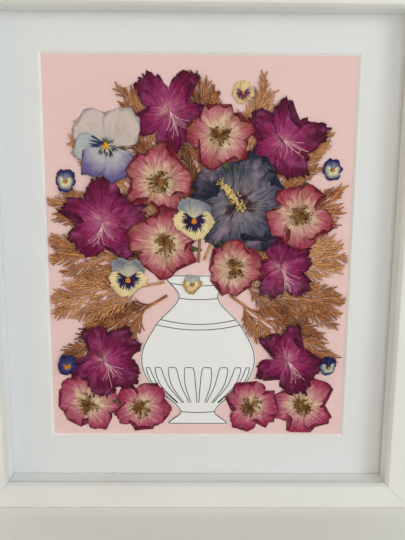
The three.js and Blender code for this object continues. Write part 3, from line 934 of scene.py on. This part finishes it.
def pressAzalea(node, x, y, across, turn, rng):
    bm = newBloom()
    for k in range(azaleas["petals"]):
        folds = []
        if rng.random() < 0.45:
            folds.append((rng.choice((-1, 1)) * rng.uniform(55, 88), rng.uniform(0.45, 0.8)))
        shape = drawShape(azaleas["petal"], across / 2, folds, rng)
        layPetal(bm, (x, y), turn + 72 * k + rng.uniform(-7, 7), shape, rng)
    facing = turn + 180 + rng.uniform(-20, 20)
    rows, heads = [], []
    for _ in range(azaleas["filaments"]):
        start = math.radians(facing + 90 + rng.uniform(-24, 24))
        end = start + math.radians(rng.uniform(-70, 70))
        half = azaleas["filamentLength"] * rng.uniform(0.35, 0.6)
        middle = aside(x, y, start, half)
        tip = aside(*middle, end, half)
        rows.append((x, y, *middle, *tip, 0.24, 0.3, 0.4, 0.0))
        heads.append((*tip, 0.2, 1.1, 0.6, math.degrees(end), 0.0))
    layThreads(bm, fineThread, rows, 0.8, material=1)
    layGrains(bm, heads, 1)
    spots = []
    for _ in range(azaleas["throatSpots"]):
        about = math.radians(turn + 90 + rng.gauss(0, 22))
        place = aside(x, y, about, rng.uniform(0.12, 0.3) * across)
        spots.append((*place, -0.12, rng.uniform(0.5, 0.9), 0.4, math.degrees(about), 0.0))
    layGrains(bm, spots, 2)
    finishBloom(node, bm, [azaleaPetal, azaleaFilament, throatDot])


# Viola petal, dried flat: pale ground, with a whiskered dark blotch that spreads from the claw
def violaPetal(name, stops, blotch, reach, rim, rimShare, alpha=1.0):
    material, add, spot = newMaterial(name)
    chart, out, edge = petalChart(add)
    cloud = add("TexNoise", {"Scale": 260.0, "Detail": 4.0}, {"Vector": spot})
    wander = add("Math", {"operation": "MULTIPLY_ADD", 1: 0.3}, {0: cloud, 2: out})
    spread = [(0.15 + 0.85 * at, code) for at, code in stops]
    ground = add("ValToRGB", {"stops": spread}, {"Fac": wander})
    rays = add("Mapping", {"Scale": (34.0, 1.4, 1.0)}, {"Vector": chart})
    ray = add("TexNoise", {"Scale": 1.0, "Detail": 3.0}, {"Vector": rays})
    limit = add("Math", {"operation": "MULTIPLY", 1: 2.0 * reach}, {0: ray})
    inside = add("Math", {"operation": "SUBTRACT"}, {0: limit, 1: out})
    veined = layPigment(add, ground, rim, 0.3, ray, 0.5, 0.68)  # fine veins run on past the blotch
    marked = layPigment(add, veined, blotch, 1.0, inside, 0.0, 0.07)
    rimNoise = add("Math", {"operation": "MULTIPLY_ADD", 1: 0.3}, {0: cloud, 2: edge})
    rimmed = layPigment(add, marked, rim, rimShare, rimNoise, 0.9, 1.15)
    settings = {"Roughness": 0.7, "IOR": 1.4, "Specular IOR Level": 0.2, "Alpha": alpha}
    return finishMaterial(material, rimmed, settings, (0.4, 0.3 * mm, ray))


eyeOrange = dryTissue("viola throat, orange", "E9932B", "C9701A", 900.0)
pansyEye = dryTissue("pansy throat, yellow", "F2B21F", "D9860F", 900.0)
whisker = dryTissue("pansy whiskers", "F4EFD8", "E0D8B8", 900.0)
violaLooks = {  # ground, blotch, its reach, rim, rim's share, for the upper and the lower petals
    "yellow": (("E2D2A4", "80859A"), ("F2E0AC", "E6CF9E"), "2A1B46", 0.6, "C8B28A", 0.4),
    "cream": (("DEDACB", "A9A9A6"), ("E6D9AE", "C08A38"), "8A5A2A", 0.3, "8B8578", 0.6),
    "blue": (("B4B6CC", "2A2660"), ("E4D9B4", "2E2A66"), "6C5A2E", 0.26, "221E52", 0.95),
    "maroon": (("E9D2A6", "E2C48E"), ("EAD3AC", "E0C08A"), "743A5C", 0.66, "D2AE7C", 0.5),
    "indigo": (("4A4C8C", "262258"), ("3C3C80", "2A265E"), "C88A24", 0.4, "1E1A48", 0.8),
    "green": (("302C68", "1E1A4A"), ("C9CEB4", "38386E"), "39406F", 0.35, "201C4C", 0.95),
}
violaMaterials = {}
for look, (upper, lower, blotch, reach, *rim) in violaLooks.items():
    name = "pressed viola, " + look
    violaMaterials[look] = (
        violaPetal(name + ", upper petal", [(0.0, upper[0]), (0.9, upper[1])], upper[1], 0.12, *rim),
        violaPetal(name + ", lower petal", [(0.0, lower[0]), (0.5, lower[0]), (0.95, lower[1])],
                   blotch, reach, *rim))
violas = {
    # heading off the top, length and width as shares of half the bloom, material, notch
    "petals": ((28, 1.06, 1.02, 0, 0.0), (-28, 1.02, 1.05, 0, 0.0), (98, 0.92, 0.95, 1, 0.0),
               (-98, 0.92, 0.95, 1, 0.0), (180, 0.98, 1.3, 1, 0.04)),
    "petal": {"length": (0.95, 1.05), "width": (0.95, 1.05), "claw": 0.42, "ragged": 0.12, "ruffle": 0.4,
              "waves": 5, "crease": 0.5},
    "cells": (10, 18),  # of the small and the large ones
    "eye": ((0.0, 0.13, 0.08), (0.05, 0.15, 0.1)),  # shares of the bloom: way down, length and breadth
}


def pressViola(node, x, y, across, turn, rng, look):
    bm = newBloom()
    down = math.radians(turn - 90)
    cells = violas["cells"][1 if across > 20 else 0]
    for heading, long, broad, material, notch in violas["petals"]:
        shape = drawShape({**violas["petal"], "notch": notch, "cells": cells}, across / 2, [], rng)
        shape["length"] *= long
        shape["width"] *= broad
        if rng.random() < 0.5:
            shape["folds"].append((rng.uniform(-60, 60), rng.uniform(0.7, 0.9)))
        layPetal(bm, (x, y), turn + heading + rng.uniform(-5, 5), shape, rng, material)
    grains = [(*aside(x, y, down, far * across), 0.05, across * long, across * broad, turn, 0.0)
              for far, long, broad in violas["eye"]]
    layGrains(bm, grains, 2)
    finishBloom(node, bm, [*violaMaterials[look], eyeOrange])


palePansies = {
    # heading off the top, length, width and material of each petal, as shares of half the bloom
    "petals": [(38, 1.1, 1.15, 0), (-40, 1.15, 1.2, 0), (-150, 1.02, 1.05, 1), (95, 0.9, 0.85, 2),
               (140, 0.95, 0.8, 1)],
    "petal": {"claw": 0.4, "notch": 0.02, "ragged": 0.03, "ruffle": 0.3, "waves": 4, "crease": 0.4},
    "sepal": {"length": 12, "width": 5, "claw": 0.6, "notch": 0, "ragged": 0.05, "ruffle": 0.05, "waves": 3,
              "crease": 0.1, "cells": 8},
    "sepals": (-150, -100, -60),  # under the petals, which show them through
    "whiskers": 26, "whiskerLength": (3.4, 5.6),  # mm from the bloom's middle
}
paleUpper = violaPetal("pressed pale pansy, upper petal",
                       [(0.0, "9AA09C"), (0.3, "DECFC8"), (1.0, "EAD6CE")],
                       "5E6A60", 0.2, "A89AA6", 0.8, alpha=0.72)
paleLower = violaPetal("pressed pale pansy, lower petal",
                       [(0.0, "C6C8C2"), (0.5, "CBC2CC"), (0.95, "7A6CA0")],
                       "2A2E48", 0.3, "4C3E80", 0.75, alpha=0.8)
paleSide = violaPetal("pressed pale pansy, side petal",
                      [(0.0, "6E7896"), (0.4, "A6AEB6"), (1.0, "BCC0BE")],
                      "26325C", 0.5, "808A9C", 0.6, alpha=0.93)


def pressPansy(node, x, y, across, turn, rng):
    bm = newBloom()
    for heading in palePansies["sepals"]:
        layPetal(bm, (x, y), turn + heading, palePansies["sepal"], rng, 3)
    for heading, long, broad, material in palePansies["petals"]:
        folds = [(rng.uniform(-60, 60), rng.uniform(0.85, 0.95))]
        petal = {**palePansies["petal"], "length": long, "width": broad}
        shape = drawShape(petal, across / 2, folds, rng)
        layPetal(bm, (x, y), turn + heading, shape, rng, material)
    rows = []
    for _ in range(palePansies["whiskers"]):
        about = math.radians(turn + 90 + rng.uniform(60, 300))
        far = rng.uniform(*palePansies["whiskerLength"])
        rows.append((*aside(x, y, about, 1), *aside(x, y, about, far / 2), *aside(x, y, about, far),
                     0.18, 0.3, 0.1, 0.0))
    layThreads(bm, fineThread, rows, 0.8, material=4)
    layGrains(bm, [(x, y, 0.1, 5.0, 3.4, turn + 100, 0.0)], 5)
    finishBloom(node, bm, [paleUpper, paleLower, paleSide, sepalGreen, whisker, pansyEye])


# kind, number, x and y in mm from the window's centre, across, turn in degrees, and the look of kinds that
# have several; the undermost come first
blooms = [
    ("rose", 6, -71, -98, 42, 0, "magenta"), ("rose", 8, 69, -99, 42, 20, "magenta"),
    ("rose", 7, -37, -101, 36, 40, "magenta"), ("rose", 9, 35, -100, 35, 75, "magenta"),
    ("azalea", 5, -60, -69, 46, 25), ("azalea", 6, 58, -69, 44, 50),
    ("viola", 6, 84, -72, 13, 0, "green"), ("viola", 5, -84, -72, 14, 0, "indigo"),
    ("azalea", 1, -59, 20, 50, 0), ("azalea", 2, -18, 87, 48, 35),
    ("azalea", 3, 51, 70, 49, 60), ("azalea", 4, 52, -8, 42, 15),
    ("hibiscus", 1, 24, 31, 61, 20), ("rose", 1, -21, 6, 43, 10, "crimson"),
    ("rose", 3, 13, 73, 40, 80, "crimson"), ("rose", 4, 63, 24, 41, 30, "crimson"),
    ("pale_pansy", 1, -56, 66, 45, 0), ("viola", 2, 82, 53, 14, 0, "blue"),
    ("viola", 3, 26, 98, 14, 0, "maroon"), ("viola", 4, -4, -19, 13, 0, "cream"),
    ("rose", 2, -25, 45, 43, 50, "crimson"), ("rose", 5, 22, -9, 36, 65, "crimson"),
    ("yellow_viola", 2, -44, -15, 26, 0, "yellow"), ("viola", 1, -82, 45, 14, 0, "blue"),
    ("yellow_viola", 1, -3, 22, 27, 0, "yellow"),
]
presses = {
    "rose": pressRose, "azalea": pressAzalea, "hibiscus": pressHibiscus, "pale_pansy": pressPansy,
    "viola": pressViola, "yellow_viola": pressViola,
}
for kind, number, x, y, across, turn, *look in blooms:
    rng = random.Random(number * 17 + len(kind))
    presses[kind](kind + "_" + str(number), x, y, across, turn, rng, *look)
print("blooms pressed:", len(blooms), "highest", round(float(pileHeights.max()), 1), "mm above the card")
for template in (scaleTwig, fineThread, grain, penStroke):
    bpy.data.meshes.remove(template)

studio = {
    "lens": 36.19, "cameraAt": (-0.87 * mm, -338.58 * mm, 205.26 * mm),
    "cameraTurn": (81.079, -0.402, -0.504),  # degrees
    # place, size, watts and colour of each light, and whether gloss mirrors it
    "window": ((1.15, -1.4, 0.5), 0.7, 4.8, "F5F6FF", True),
    "room": ((-1.25, -1.0, 0.5), 0.7, 2.2, "FFBC88", True),
    "sill": ((0.16, -0.85, 0.13), 0.24, 1.2, "FBFCFF", False),  # daylight thrown up by the sill in front
    "world": 0.68,
    "flagAt": -1.6, "flagSize": 1.7,
}


def plainFloor():
    bm = newMesh()
    bmesh.ops.create_grid(bm, x_segments=1, y_segments=1, size=3.0)
    material, add, spot = newMaterial("pale table, painted")
    _, tint = cloudTones(add, spot, {"Scale": 3.0, "Detail": 3.0}, [(0.3, "EEECE4"), (0.7, "F1F0EA")])
    finishMaterial(material, tint, {"Roughness": 0.9, "Specular IOR Level": 0.0})
    floor = makeObject("pale_floor", bm, [material], smooth=False)


def softBox(name):
    place, size, power, color, shines = studio[name]
    light = bpy.data.lights.new(name, "AREA")
    light.shape = "SQUARE"
    light.size = size
    light.energy = power
    light.color = hexColor(color)[:3]
    lamp = link(name, light)
    lamp.location = place
    aim = Vector((0, 0, pictureZ)) - Vector(place)
    lamp.rotation_euler = aim.to_track_quat("-Z", "Y").to_euler()
    lamp.visible_camera = False
    lamp.visible_glossy = shines
    lamp.visible_transmission = shines  # the back of the pane mirrors it too


# Dark cloth behind the camera and along the floor. Only gloss sees it, so the pane stays clear.
def blackFlag():
    bm = newMesh()
    half = studio["flagSize"] / 2
    upright = Matrix.Translation((0, studio["flagAt"], half)) @ Matrix.Rotation(math.pi / 2, 4, "X")
    along = Matrix.Translation((0, -half - 30 * mm, 1 * mm))
    for place in (upright, along):
        bmesh.ops.create_grid(bm, x_segments=1, y_segments=1, size=half, matrix=place)
    velvet = dryTissue("black velvet", "0C0C0E", "060607", 200.0, roughness=1.0)
    flag = makeObject("black_flag", bm, [velvet], smooth=False)
    flag.visible_camera = False
    flag.visible_diffuse = False
    flag.visible_transmission = False
    flag.visible_shadow = False


def setCamera():
    camera = link("camera", bpy.data.cameras.new("camera"))
    camera.data.lens = studio["lens"]
    camera.data.clip_start = 0.01
    camera.location = studio["cameraAt"]
    camera.rotation_euler = [math.radians(a) for a in studio["cameraTurn"]]
    bpy.context.scene.camera = camera


plainFloor()
for name in ("window", "room", "sill"):
    softBox(name)
blackFlag()
setCamera()
world = bpy.data.worlds.new("soft room")
world.use_nodes = True
sky = world.node_tree.nodes["Background"]
sky.inputs["Color"].default_value = hexColor("FBFFFB")
sky.inputs["Strength"].default_value = studio["world"]
bpy.context.scene.world = world
bpy.context.scene.view_settings.view_transform = "Standard"
print("studio ready")
